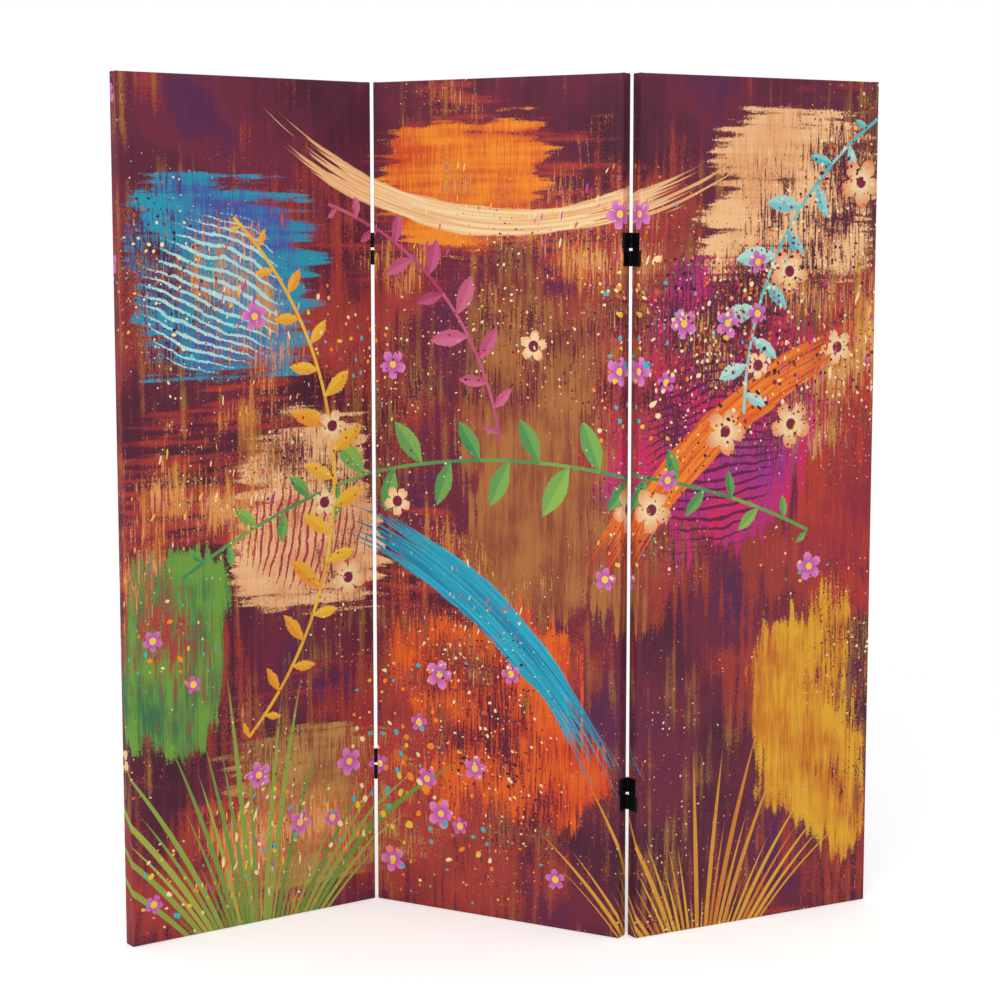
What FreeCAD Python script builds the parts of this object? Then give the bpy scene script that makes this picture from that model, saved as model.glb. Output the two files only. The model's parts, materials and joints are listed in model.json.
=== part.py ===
import FreeCAD, Part
import os
import re
import Sketcher

# A folding screen of three panels in a zigzag: printed canvas stretched over timber frames, hung on
# two-way hinges. Millimetres, +Z up, the front faces -Y, the origin under the middle of the screen.
# A panel is laid out in its own frame: X across from its left edge, Y through it from the front face,
# Z up from the floor. A hinge leaf or link is laid out about the middle of the panel's depth.

SIZES = {
    # Panels
    "panel_height": 1800,
    "panel_width": 600,
    "timber_depth": 31.1,
    "stile_width": 40,
    "rail_width": 40,
    "timber_edge_radius": 2.5,
    "timber_back_radius": 0.55,
    "tenon_length": 18,
    "tenon_thick": 10,
    "tenon_width": 26,
    "tenon_ease": 0.15,
    "canvas_thick": 0.6,
    "canvas_ease": 0.05,
    "canvas_return": 25,
    "back_canvas_inset": 6,
    "staple_crown": 10,
    "staple_wire": 0.5,
    "staple_leg": 6,
    "staple_pitch": 120,
    "staple_inset": 14,
    # Hinges
    "panel_gap": 4.4,
    "pivot_stand_off": 1,
    "top_hinge_drop": 355,
    "bottom_hinge_rise": 307,
    "barrel_height": 31,
    "barrel_slot": 6,
    "end_knuckle_height": 8,
    "knuckle_ease": 0.3,
    "hinge_plate_thick": 1,
    "leaf_margin": 4.5,
    "pin_radius": 1.25,
    "pin_fit": 0.05,
    "pin_head_radius": 1.9,
    "pin_head_height": 0.8,
    "screw_radius": 1.4,
    "screw_head_radius": 2.4,
    "screw_length": 16,
    "screw_point": 3,
    "screw_fit": 0.05,
    "screw_spread_across": 12,
    "screw_spread_up": 46,
    # The stance in plan, each fold measured from flat, in degrees
    "left_fold": 65.4,
    "right_fold": 57.9,
}

doc = FreeCAD.newDocument("folding_screen")
sheet = doc.addObject("Spreadsheet::Sheet", "sizes")
for row, (alias, value) in enumerate(SIZES.items(), start=1):
    sheet.set(f"A{row}", alias)
    sheet.set(f"B{row}", str(value))
    sheet.setAlias(f"B{row}", alias)
doc.recompute()

# Sizes that follow from the ones in the sheet, as formulas of its cells
FRAME_INSET = "(canvas_thick + canvas_ease)"
PANEL_DEPTH = "(timber_depth + 3 * canvas_thick + 2 * canvas_ease)"
WRAP_DEPTH = "(timber_depth + 2 * canvas_thick + 2 * canvas_ease)"
STILE_FACE = f"({FRAME_INSET} + stile_width)"
FRAME_HEIGHT = f"(panel_height - 2 * {FRAME_INSET})"
OPENING_WIDTH = f"(panel_width - 2 * {STILE_FACE})"
PIVOT_REACH = f"({PANEL_DEPTH} / 2 + pivot_stand_off)"
BORE_RADIUS = "(pin_radius + pin_fit)"
BARREL_RADIUS = f"({BORE_RADIUS} + hinge_plate_thick)"
# A leaf's tab ends in the wall of its ring, beside the bore; its shoulder ends clear of the link's ring
TAB_REACH = f"({PIVOT_REACH} - 0.8 * {BORE_RADIUS})"
SHOULDER_REACH = f"({PIVOT_REACH} - {BARREL_RADIUS} - 1.5 * knuckle_ease)"
LEAF_WIDTH = f"({PANEL_DEPTH} - 2 * leaf_margin)"
LEAF_HEIGHT = "(2 * barrel_height + barrel_slot)"
LINK_KNUCKLE_HEIGHT = "(barrel_height - 2 * end_knuckle_height - 2 * knuckle_ease)"
LINK_RISE = "((barrel_height + barrel_slot) / 2)"
RAIL_STEP = f"(({FRAME_HEIGHT} - rail_width) / 3)"
RAILS = {
    "bottom_rail": FRAME_INSET,
    "lower_rail": f"({FRAME_INSET} + {RAIL_STEP})",
    "upper_rail": f"({FRAME_INSET} + 2 * {RAIL_STEP})",
    "top_rail": f"({FRAME_INSET} + 3 * {RAIL_STEP})",
}
HINGES = {"top": "(panel_height - top_hinge_drop)", "bottom": "bottom_hinge_rise"}
HINGED_EDGES = {"left_panel": ["right"], "middle_panel": ["left", "right"], "right_panel": ["left"]}


def number(formula):
    """The value of a formula of the sheet's cells."""
    return float(sheet.evalExpression(formula))


def bind(thing, prop, formula):
    """Ties a property to a formula of the sheet's cells."""
    thing.setExpression(prop, re.sub(r"[a-z_]{4,}", lambda found: "sizes." + found.group(), formula))


def move(x=0.0, y=0.0, z=0.0):
    return FreeCAD.Placement(FreeCAD.Vector(x, y, z), FreeCAD.Rotation())


def turn(axis, degrees):
    return FreeCAD.Placement(FreeCAD.Vector(), FreeCAD.Rotation(FreeCAD.Vector(*axis), degrees))


def turn_about(x, y, degrees):
    """A turn about the upright line through a point of the plan."""
    return move(x, y) * turn((0, 0, 1), degrees) * move(-x, -y)


def new_sketch(body, name, role, rise):
    """A sketch on one of the body's own planes, raised along that plane's normal."""
    sketch = body.newObject("Sketcher::SketchObject", name)
    plane = next(found for found in body.Origin.OriginFeatures if found.Role == role)
    sketch.AttachmentSupport = (plane, [""])
    sketch.MapMode = "FlatFace"
    bind(sketch, "AttachmentOffset.Base.z", rise)
    return sketch


def dimension(sketch, kind, formula, *where):
    """A driving dimension tied to the sheet."""
    index = sketch.addConstraint(Sketcher.Constraint(kind, *where, number(formula)))
    bind(sketch, f"Constraints[{index}]", formula)


def draw_rectangle(sketch, left, bottom, width, height):
    x0, y0 = number(left), number(bottom)
    x1, y1 = x0 + number(width), y0 + number(height)
    corners = [FreeCAD.Vector(x, y) for x, y in ((x0, y0), (x1, y0), (x1, y1), (x0, y1))]
    sides = [Part.LineSegment(corners[side], corners[(side + 1) % 4]) for side in range(4)]
    first = sketch.addGeometry(sides)[0]
    for side in range(4):
        follower = first + (side + 1) % 4
        sketch.addConstraint(Sketcher.Constraint("Coincident", first + side, 2, follower, 1))
        sketch.addConstraint(Sketcher.Constraint("Vertical" if side % 2 else "Horizontal", first + side))
    dimension(sketch, "DistanceX", left, first, 1)
    dimension(sketch, "DistanceY", bottom, first, 1)
    dimension(sketch, "DistanceX", width, first, 1, first, 2)
    dimension(sketch, "DistanceY", height, first + 1, 1, first + 1, 2)


def draw_circle(sketch, across, up, radius):
    centre = FreeCAD.Vector(number(across), number(up))
    circle = sketch.addGeometry(Part.Circle(centre, FreeCAD.Vector(0, 0, 1), number(radius)))
    dimension(sketch, "DistanceX", across, circle, 3)
    dimension(sketch, "DistanceY", up, circle, 3)
    dimension(sketch, "Radius", radius, circle)


def draw_outline(sketch, points):
    """A closed outline of straight sides, each corner held at its own place."""
    places = [FreeCAD.Vector(number(across), number(up)) for across, up in points]
    sides = [Part.LineSegment(places[side - 1], places[side]) for side in range(len(places))]
    first = sketch.addGeometry(sides)[0]
    for side, (across, up) in enumerate(points):
        follower = first + (side + 1) % len(points)
        sketch.addConstraint(Sketcher.Constraint("Coincident", first + side, 2, follower, 1))
        dimension(sketch, "DistanceX", across, first + side, 2)
        dimension(sketch, "DistanceY", up, first + side, 2)


def pad(body, sketch, length):
    feature = body.newObject("PartDesign::Pad", sketch.Name + "_pad")
    feature.Profile = sketch
    bind(feature, "Length", length)
    return feature


def pocket(body, sketch, depth, along_normal):
    """A blind pocket, which has to take material away."""
    doc.recompute()
    volume = body.Shape.Volume
    feature = body.newObject("PartDesign::Pocket", sketch.Name + "_pocket")
    feature.Profile = sketch
    feature.Reversed = along_normal
    bind(feature, "Length", depth)
    doc.recompute()
    if body.Shape.Volume >= volume:
        raise ValueError(f"{feature.Name} cuts nothing")


def round_edges(body, radius, chosen):
    """Rounds the edges whose middle point passes the test."""
    doc.recompute()
    edges = body.Shape.Edges
    names = [f"Edge{n}" for n, edge in enumerate(edges, start=1) if chosen(edge.CenterOfGravity)]
    square = body.Tip
    feature = body.newObject("PartDesign::Fillet", body.Name + "_rounding")
    feature.Base = (square, names)
    bind(feature, "Radius", radius)


def add_box(name, corner, span):
    box = doc.addObject("Part::Box", name)
    for side, formula in zip(("Length", "Width", "Height"), span):
        bind(box, side, formula)
    for axis, formula in zip("xyz", corner):
        bind(box, f"Placement.Base.{axis}", formula)
    return box


def near(value, target):
    return abs(value - target) < 0.01


def screw_places():
    """Across and up, from the middle of a leaf, of its four screws."""
    across = "screw_spread_across / 2"
    up = "screw_spread_up / 2"
    return [(f"{side}{across}", f"{level}{up}") for side in ("-", "") for level in ("-", "")]


def edge_screws():
    """Depth and height, in the panel's frame, of all the screws in one hinged edge."""
    return [(f"{PANEL_DEPTH} / 2 + ({across})", f"{height} + ({up})")
            for height in HINGES.values() for across, up in screw_places()]


# Every sub-part, as (object, the frame that carries it, its place in that frame)
placed = []


def keep(thing, node, carrier, local=FreeCAD.Placement()):
    thing.Label = node
    placed.append((thing, carrier, local))


def make_stile(panel, side):
    """An upright of the frame, rounded where the canvas turns, mortised for the rails."""
    node = f"{panel}_{side}_stile"
    body = doc.addObject("PartDesign::Body", node)
    on_left = side == "left"
    start = FRAME_INSET if on_left else f"(panel_width - {STILE_FACE})"
    section = new_sketch(body, node + "_section", "XY_Plane", FRAME_INSET)
    draw_rectangle(section, start, FRAME_INSET, "stile_width", "timber_depth")
    pad(body, section, FRAME_HEIGHT)
    outer = number(FRAME_INSET if on_left else f"panel_width - {FRAME_INSET}")
    inner = number(STILE_FACE if on_left else f"panel_width - {STILE_FACE}")
    back = number(f"{FRAME_INSET} + timber_depth")
    middle = number("panel_height / 2")

    def takes_canvas(point):
        upright = near(point.z, middle)
        return near(point.x, outer) if upright else not near(point.x, inner)

    # Only edges of the outside: the four uprights' inner pair and the ends' inner edges stay square
    round_edges(body, "timber_edge_radius", lambda point: takes_canvas(point) and not near(point.y, back))
    round_edges(body, "timber_back_radius", lambda point: takes_canvas(point) and near(point.y, back))
    mortises = new_sketch(body, node + "_mortises", "YZ_Plane",
                          STILE_FACE if on_left else f"(panel_width - {STILE_FACE})")
    for foot in RAILS.values():
        draw_rectangle(mortises,
                       f"{FRAME_INSET} + (timber_depth - tenon_thick) / 2 - tenon_ease",
                       f"{foot} + (rail_width - tenon_width) / 2 - tenon_ease",
                       "tenon_thick + 2 * tenon_ease", "tenon_width + 2 * tenon_ease")
    pocket(body, mortises, "tenon_length + tenon_ease", not on_left)
    if side in HINGED_EDGES[panel]:
        pilots = new_sketch(body, node + "_pilots", "YZ_Plane",
                            FRAME_INSET if on_left else f"(panel_width - {FRAME_INSET})")
        for depth, height in edge_screws():
            draw_circle(pilots, depth, height, "screw_radius + screw_fit")
        pilot_depth = f"screw_length - hinge_plate_thick - {FRAME_INSET} + screw_fit"
        pocket(body, pilots, pilot_depth, on_left)
    keep(body, node, panel)


def make_rail(panel, rail):
    """A cross-piece between the stiles, with one tenon running out at both ends."""
    node = f"{panel}_{rail}"
    foot = RAILS[rail]
    body = doc.addObject("PartDesign::Body", node)
    section = new_sketch(body, node + "_section", "YZ_Plane", STILE_FACE)
    draw_rectangle(section, FRAME_INSET, foot, "timber_depth", "rail_width")
    pad(body, section, OPENING_WIDTH)
    if rail in ("top_rail", "bottom_rail"):
        middle = number("panel_width / 2")
        outer = number(f"{foot} + rail_width" if rail == "top_rail" else foot)
        for radius, face in (("timber_edge_radius", FRAME_INSET),
                             ("timber_back_radius", f"{FRAME_INSET} + timber_depth")):
            edge_line = (middle, number(face), outer)
            round_edges(body, radius, lambda point: all(map(near, point, edge_line)))
    tenon = new_sketch(body, node + "_tenon", "YZ_Plane", f"{STILE_FACE} - tenon_length")
    draw_rectangle(tenon, f"{FRAME_INSET} + (timber_depth - tenon_thick) / 2",
                   f"{foot} + (rail_width - tenon_width) / 2", "tenon_thick", "tenon_width")
    pad(body, tenon, f"{OPENING_WIDTH} + 2 * tenon_length")
    keep(body, node, panel)


def rounded_block(name, inset, extra):
    """A block inside the wrap's outline, its edges rounded as the timber's are and by something extra."""
    block = add_box(name + "_block", (inset, inset, inset),
                    (f"panel_width - 2 * {inset}", f"{WRAP_DEPTH} - 2 * {inset}",
                     f"panel_height - 2 * {inset}"))
    back = number(f"{WRAP_DEPTH} - {inset}")
    for side, timber_radius in (("front", "timber_edge_radius"), ("back", "timber_back_radius")):
        doc.recompute()
        radius = number(f"{timber_radius} + {extra}")
        rounding = doc.addObject("Part::Fillet", f"{name}_{side}_rounding")
        rounding.Base = block
        rounding.Edges = [(n, radius, radius) for n, edge in enumerate(block.Shape.Edges, start=1)
                          if near(edge.CenterOfGravity.y, back) == (side == "back")]
        block = rounding
    return block


def make_front_canvas(panel):
    """The printed canvas: over the front, round all four edges and turned onto the back."""
    node = f"{panel}_front_canvas"
    wrap = doc.addObject("Part::Cut", node + "_wrap")
    wrap.Base = rounded_block(node + "_outside", "(0 * canvas_thick)", "canvas_ease + canvas_thick")
    wrap.Tool = rounded_block(node + "_inside", "canvas_thick", "canvas_ease")
    window = add_box(node + "_window", ("canvas_return", f"{WRAP_DEPTH} / 2", "canvas_return"),
                     ("panel_width - 2 * canvas_return", WRAP_DEPTH, "panel_height - 2 * canvas_return"))
    holes = []
    for edge in HINGED_EDGES[panel]:
        wall = "-canvas_thick" if edge == "left" else "panel_width - 2 * canvas_thick"
        for depth, height in edge_screws():
            hole = doc.addObject("Part::Cylinder", f"{node}_{edge}_hole")
            hole.Placement = turn((0, 1, 0), 90)
            bind(hole, "Radius", "screw_radius + screw_fit")
            bind(hole, "Height", "3 * canvas_thick")
            for axis, formula in zip("xyz", (wall, depth, height)):
                bind(hole, f"Placement.Base.{axis}", formula)
            holes.append(hole)
    cutters = doc.addObject("Part::Compound", node + "_cutters")
    cutters.Links = [window] + holes
    canvas = doc.addObject("Part::Cut", node)
    canvas.Base = wrap
    canvas.Tool = cutters
    keep(canvas, node, panel)


def make_back_canvas(panel):
    """The flat printed sheet that closes the back and covers the turned edges of the front one."""
    node = f"{panel}_back_canvas"
    inset = "back_canvas_inset"
    sheet_box = add_box(node, (inset, WRAP_DEPTH, inset),
                        (f"panel_width - 2 * {inset}", "canvas_thick", f"panel_height - 2 * {inset}"))
    keep(sheet_box, node, panel, move(number(inset), number(WRAP_DEPTH), number(inset)))


def make_group(node, carrier, shape, places):
    """Like small pieces that share one node, each a separate solid."""
    group = doc.addObject("Part::Feature", node)
    group.Shape = Part.Compound([shape.transformed(place.toMatrix(), copy=True) for place in places])
    keep(group, node, carrier)


def evenly(start, stop, pitch):
    """Places from start to stop, both taken, about one pitch apart."""
    steps = max(1, round((stop - start) / pitch))
    return [start + (stop - start) * step / steps for step in range(steps + 1)]


def make_staple():
    outside = add_box("staple_outside", ("-staple_crown / 2", "-staple_leg", "-staple_wire / 2"),
                      ("staple_crown", "staple_leg", "staple_wire"))
    between = add_box("staple_between",
                      ("staple_wire - staple_crown / 2", "-staple_leg - staple_wire", "-staple_wire"),
                      ("staple_crown - 2 * staple_wire", "staple_leg", "2 * staple_wire"))
    staple = doc.addObject("Part::Cut", "staple")
    staple.Base = outside
    staple.Tool = between
    doc.recompute()
    return staple.Shape


def staple_places():
    """Staples through the turned edges: along both stiles, then along the top and bottom rails."""
    inset, pitch = number("staple_inset"), number("staple_pitch")
    width, height, back = number("panel_width"), number("panel_height"), number(WRAP_DEPTH)
    first = number(f"{STILE_FACE} + staple_crown")
    upright = turn((0, 1, 0), 90)
    places = [move(x, back, z) * upright for x in (inset, width - inset)
              for z in evenly(first, height - first, pitch)]
    return places + [move(x, back, z) for z in (inset, height - inset)
                     for x in evenly(first, width - first, pitch)]


def make_screw():
    """A countersunk screw along Z, its head's flat at the origin."""
    body = doc.addObject("PartDesign::Body", "screw")
    half = new_sketch(body, "screw_half", "XZ_Plane", "(0 * screw_length)")
    draw_outline(half, [("(0 * screw_length)", "(0 * screw_length)"),
                        ("screw_head_radius", "(0 * screw_length)"),
                        ("screw_radius", "screw_radius - screw_head_radius"),
                        ("screw_radius", "screw_point - screw_length"),
                        ("(0 * screw_length)", "-screw_length")])
    return revolve(body, half)


def make_pin(length):
    """A hinge pin along Z, its head's seat at the origin and its shank below."""
    body = doc.addObject("PartDesign::Body", "pin")
    half = new_sketch(body, body.Name + "_half", "XZ_Plane", "(0 * pin_radius)")
    draw_outline(half, [("(0 * pin_radius)", "pin_head_height"),
                        ("pin_head_radius - pin_head_height / 2", "pin_head_height"),
                        ("pin_head_radius", "pin_head_height / 2"),
                        ("pin_head_radius", "(0 * pin_radius)"),
                        ("pin_radius", "(0 * pin_radius)"),
                        ("pin_radius", f"-{length}"),
                        ("(0 * pin_radius)", f"-{length}")])
    return revolve(body, half)


def revolve(body, sketch):
    feature = body.newObject("PartDesign::Revolution", sketch.Name + "_turned")
    feature.Profile = sketch
    feature.ReferenceAxis = (sketch, ["V_Axis"])
    feature.Angle = 360
    doc.recompute()
    return body.Shape


def make_leaf(node, panel, edge, height):
    """A leaf: a plate on the panel's edge, with rolled knuckles at the front above and the back below."""
    body = doc.addObject("PartDesign::Body", node)
    plate = new_sketch(body, node + "_plate", "YZ_Plane", "(0 * panel_gap)")
    draw_rectangle(plate, f"-{LEAF_WIDTH} / 2", f"-{LEAF_HEIGHT} / 2", LEAF_WIDTH, LEAF_HEIGHT)
    pad(body, plate, "hinge_plate_thick")
    # The plate runs on toward its knuckles, up to the notch that the link's knuckle turns in
    shoulder = new_sketch(body, node + "_shoulder", "YZ_Plane", "(0 * panel_gap)")
    draw_rectangle(shoulder, f"-{SHOULDER_REACH}", "barrel_slot / 2",
                   f"{SHOULDER_REACH} - {LEAF_WIDTH} / 2 + leaf_margin", "barrel_height")
    knuckles = [pad(body, shoulder, "hinge_plate_thick")]
    for name, foot in (("inner", "barrel_slot / 2"), ("outer", f"{LEAF_HEIGHT} / 2 - end_knuckle_height")):
        tab = new_sketch(body, f"{node}_{name}_tab", "XY_Plane", foot)
        draw_rectangle(tab, "(0 * panel_gap)", f"-{TAB_REACH}", "hinge_plate_thick",
                       f"{TAB_REACH} - {LEAF_WIDTH} / 2 + leaf_margin")
        knuckles.append(pad(body, tab, "end_knuckle_height"))
        ring = new_sketch(body, f"{node}_{name}_ring", "XY_Plane", foot)
        draw_circle(ring, "panel_gap / 2", f"-{PIVOT_REACH}", BARREL_RADIUS)
        draw_circle(ring, "panel_gap / 2", f"-{PIVOT_REACH}", BORE_RADIUS)
        knuckles.append(pad(body, ring, "end_knuckle_height"))
    doc.recompute()
    half_turn = body.newObject("PartDesign::PolarPattern", node + "_half_turn")
    half_turn.Originals = knuckles
    across = next(found for found in body.Origin.OriginFeatures if found.Role == "X_Axis")
    half_turn.Axis = (across, [""])
    half_turn.Angle = 360
    half_turn.Occurrences = 2
    body.Tip = half_turn
    doc.recompute()
    points = new_sketch(body, node + "_screw_holes", "YZ_Plane", "hinge_plate_thick")
    for across, up in screw_places():
        draw_circle(points, across, up, "screw_radius + screw_fit")
    doc.recompute()
    holes = body.newObject("PartDesign::Hole", node + "_countersinks")
    holes.Profile = points
    holes.DepthType = "ThroughAll"
    holes.HoleCutType = "Countersink"
    bind(holes, "Diameter", "2 * (screw_radius + screw_fit)")
    bind(holes, "HoleCutDiameter", "2 * (screw_head_radius + screw_fit)")
    holes.HoleCutCountersinkAngle = 90
    body.Tip = holes
    depth = number(f"{PANEL_DEPTH} / 2")
    on_right = move(number("panel_width"), depth, height)
    on_left = move(0, depth, height) * turn((0, 0, 1), 180)
    keep(body, node, panel, on_right if edge == "right" else on_left)


def make_link(node, carrier, rise):
    """A plate across the hinge gap with a knuckle at the front pivot and one at the back pivot."""
    body = doc.addObject("PartDesign::Body", node)
    skin = "-hinge_plate_thick / 2"
    reach = f"({PIVOT_REACH} - {BARREL_RADIUS} - knuckle_ease)"
    plate = new_sketch(body, node + "_plate", "YZ_Plane", skin)
    draw_rectangle(plate, f"-{reach}", "-barrel_height / 2", f"2 * {reach}", "barrel_height")
    pad(body, plate, "hinge_plate_thick")
    neck_reach = f"({PIVOT_REACH} - ({BARREL_RADIUS} + {BORE_RADIUS}) / 2)"
    neck = new_sketch(body, node + "_neck", "YZ_Plane", skin)
    draw_rectangle(neck, f"-{neck_reach}", f"-{LINK_KNUCKLE_HEIGHT} / 2", f"2 * {neck_reach}",
                   LINK_KNUCKLE_HEIGHT)
    pad(body, neck, "hinge_plate_thick")
    rings = new_sketch(body, node + "_rings", "XY_Plane", f"-{LINK_KNUCKLE_HEIGHT} / 2")
    for side in ("-", ""):
        draw_circle(rings, "(0 * panel_gap)", f"{side}{PIVOT_REACH}", BARREL_RADIUS)
        draw_circle(rings, "(0 * panel_gap)", f"{side}{PIVOT_REACH}", BORE_RADIUS)
    pad(body, rings, LINK_KNUCKLE_HEIGHT)
    keep(body, node, carrier, move(0, 0, rise))


staple_shape = make_staple()
screw_shape = make_screw()
long_pin = make_pin("(barrel_height + pin_head_height)")
stub_pin = make_pin("end_knuckle_height")
hinge_heights = {name: number(formula) for name, formula in HINGES.items()}

for panel, edges in HINGED_EDGES.items():
    for side in ("left", "right"):
        make_stile(panel, side)
    for rail in RAILS:
        make_rail(panel, rail)
    make_front_canvas(panel)
    make_back_canvas(panel)
    make_group(f"{panel}_staples", panel, staple_shape, staple_places())
    heads = {"left": move(-number("hinge_plate_thick")) * turn((0, 1, 0), -90),
             "right": move(number("panel_width + hinge_plate_thick")) * turn((0, 1, 0), 90)}
    make_group(f"{panel}_hinge_screws", panel, screw_shape,
               [move(0, number(depth), number(height)) * heads[edge]
                for edge in edges for depth, height in edge_screws()])

# At the left fold the upper links stand with the middle panel and the lower links with the left one.
# At the right fold the upper links stand with the middle panel and the lower links with the right one.
# A links frame is upright on the middle of the hinge gap, at the middle of the panel's depth.
FOLDS = {"left": ("left_panel", "middle_panel"), "right": ("middle_panel", "right_panel")}
reach = number(PIVOT_REACH)
rise = number(LINK_RISE)
head_level = number("barrel_height / 2")
upside_down = turn((1, 0, 0), 180)

for fold, (left_side, right_side) in FOLDS.items():
    outer_side = left_side if fold == "left" else right_side
    toward_outer = -reach if fold == "left" else reach
    for name, height in hinge_heights.items():
        make_leaf(f"{fold}_{name}_hinge_left_leaf", left_side, "right", height)
        make_leaf(f"{fold}_{name}_hinge_right_leaf", right_side, "left", height)
        make_link(f"{fold}_{name}_hinge_upper_link", f"{fold}_upper_links", height + rise)
        make_link(f"{fold}_{name}_hinge_lower_link", f"{fold}_lower_links", height - rise)
    make_group(f"{fold}_hinge_lower_pins", f"{fold}_lower_links", long_pin,
               [move(0, y, height - rise - head_level) * upside_down
                for height in hinge_heights.values() for y in (-reach, reach)])
    make_group(f"{fold}_hinge_upper_pins", f"{fold}_upper_links", long_pin,
               [move(0, -toward_outer, height + rise + head_level) for height in hinge_heights.values()])
    # The upper link's pivot on the outer panel has a stub in each end knuckle and none in the link's own
    gap_middle = number("panel_width + panel_gap / 2" if fold == "left" else "-panel_gap / 2")
    stub_line = number(f"{PANEL_DEPTH} / 2") + toward_outer
    make_group(f"{fold}_hinge_stub_pins", outer_side, stub_pin,
               [move(gap_middle, stub_line, height + rise + head_level) for height in hinge_heights.values()]
               + [move(gap_middle, stub_line, height + rise - head_level) * upside_down
                  for height in hinge_heights.values()])

# The stance: the middle panel bisects the right fold about Y, and the outer panels hang on its pivots
pitch = number("panel_width + panel_gap")
depth = number(PANEL_DEPTH)
stand_off = number("pivot_stand_off")
left_gap = -number("panel_gap / 2")
right_gap = number("panel_width + panel_gap / 2")
front_pivot = (left_gap, -stand_off)
back_pivot = (right_gap, depth + stand_off)
middle_panel = turn((0, 0, 1), -number("right_fold") / 2)
left_panel = middle_panel * turn_about(*front_pivot, number("left_fold")) * move(-pitch)
right_panel = middle_panel * turn_about(*back_pivot, number("right_fold")) * move(pitch)
FRAMES = {
    "left_panel": left_panel,
    "middle_panel": middle_panel,
    "right_panel": right_panel,
    "left_upper_links": middle_panel * move(left_gap, depth / 2),
    "left_lower_links": left_panel * move(right_gap, depth / 2),
    "right_upper_links": middle_panel * move(right_gap, depth / 2),
    "right_lower_links": right_panel * move(left_gap, depth / 2),
}


def place_all(shift):
    for thing, carrier, local in placed:
        place = shift * FRAMES[carrier] * local
        for axis in "xyz":
            thing.setExpression(f"Placement.Base.{axis}", None)
        thing.Placement = place
    doc.recompute()


place_all(FreeCAD.Placement())
extent = FreeCAD.BoundBox()
for thing, carrier, local in placed:
    extent.add(thing.Shape.optimalBoundingBox(False))
origin_shift = move(-extent.Center.x, -extent.Center.y, -extent.ZMin)
place_all(origin_shift)

faults = [thing.Name for thing in doc.Objects if {"Invalid", "Error"} & set(thing.State)]
faults += [thing.Name for thing, carrier, local in placed
           if thing.Shape.isNull() or not thing.Shape.isValid()]
if faults:
    raise ValueError(f"failed objects: {faults}")

# The pivots in the screen's own frame, for the record
for name, frame, x, y in (
        ("left fold", "middle_panel", left_gap, -stand_off),
        ("left reverse fold", "left_panel", right_gap, depth + stand_off),
        ("left upper link", "middle_panel", left_gap, depth + stand_off),
        ("right fold", "middle_panel", right_gap, depth + stand_off),
        ("right reverse fold", "right_panel", left_gap, -stand_off),
        ("right upper link", "middle_panel", right_gap, -stand_off)):
    pivot = (origin_shift * FRAMES[frame]).multVec(FreeCAD.Vector(x, y, 0))
    print(f"{name} pivot: {pivot.x:.4f} {pivot.y:.4f}")
for panel in HINGED_EDGES:
    foot = (origin_shift * FRAMES[panel]).multVec(FreeCAD.Vector(number("panel_width / 2"), depth / 2, 0))
    print(f"{panel} foot: {foot.x:.4f} {foot.y:.4f}")

os.makedirs("parts", exist_ok=True)
for thing, carrier, local in placed:
    thing.Shape.exportStep(f"parts/{thing.Label}.step")
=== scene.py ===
# A folding screen of three panels: printed canvas on timber frames, joined by black two-way hinges.
import json
import math

import bmesh
import bpy
from mathutils import Matrix, Vector


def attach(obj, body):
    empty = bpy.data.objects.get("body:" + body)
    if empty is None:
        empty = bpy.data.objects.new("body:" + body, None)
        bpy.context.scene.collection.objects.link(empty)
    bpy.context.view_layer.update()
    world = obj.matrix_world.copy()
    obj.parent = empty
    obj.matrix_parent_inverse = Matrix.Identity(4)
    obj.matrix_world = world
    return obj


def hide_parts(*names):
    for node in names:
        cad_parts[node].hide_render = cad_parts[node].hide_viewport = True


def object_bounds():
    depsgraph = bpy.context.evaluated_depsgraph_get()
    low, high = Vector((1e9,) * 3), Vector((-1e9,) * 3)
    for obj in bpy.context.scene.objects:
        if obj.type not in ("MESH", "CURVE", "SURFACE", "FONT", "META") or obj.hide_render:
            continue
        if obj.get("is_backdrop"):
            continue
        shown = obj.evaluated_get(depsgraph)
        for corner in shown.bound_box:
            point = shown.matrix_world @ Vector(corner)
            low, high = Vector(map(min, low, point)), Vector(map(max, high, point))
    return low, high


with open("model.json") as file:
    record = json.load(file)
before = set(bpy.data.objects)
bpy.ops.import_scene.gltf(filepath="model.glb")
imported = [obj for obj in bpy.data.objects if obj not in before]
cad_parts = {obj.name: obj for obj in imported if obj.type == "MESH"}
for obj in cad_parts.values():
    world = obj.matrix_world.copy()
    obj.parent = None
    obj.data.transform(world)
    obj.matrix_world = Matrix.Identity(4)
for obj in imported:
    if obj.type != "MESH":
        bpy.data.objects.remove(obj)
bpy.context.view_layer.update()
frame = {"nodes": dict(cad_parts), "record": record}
bpy.ops.object.select_all(action="DESELECT")

# Stiles and rails
# Each panel is a frame of planed pine: two stiles of full height with four rails tenoned between them.
# The canvas covers all of it, so it shows only where a panel is taken apart.
PANELS = ("left", "middle", "right")
PANEL_TURN = {"left": 36.45, "middle": -28.95, "right": 28.95}
RING_SPACING = 0.005
FIBRE_LENGTH = 0.12
# At scale 1 the wave texture repeats about every 0.314 of a unit
WAVE_PERIOD = 0.314


def linear(colour):
    """The linear value of an sRGB hex colour."""
    parts = [int(colour[i:i + 2], 16) / 255 for i in (1, 3, 5)]
    return [c / 12.92 if c <= 0.04045 else ((c + 0.055) / 1.055) ** 2.4 for c in parts] + [1.0]


def new_finish(name):
    """An empty finish: the material, its nodes and its surface shader."""
    finish = bpy.data.materials.new(name)
    finish.use_nodes = True
    return finish, finish.node_tree, finish.node_tree.nodes["Principled BSDF"]


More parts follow.
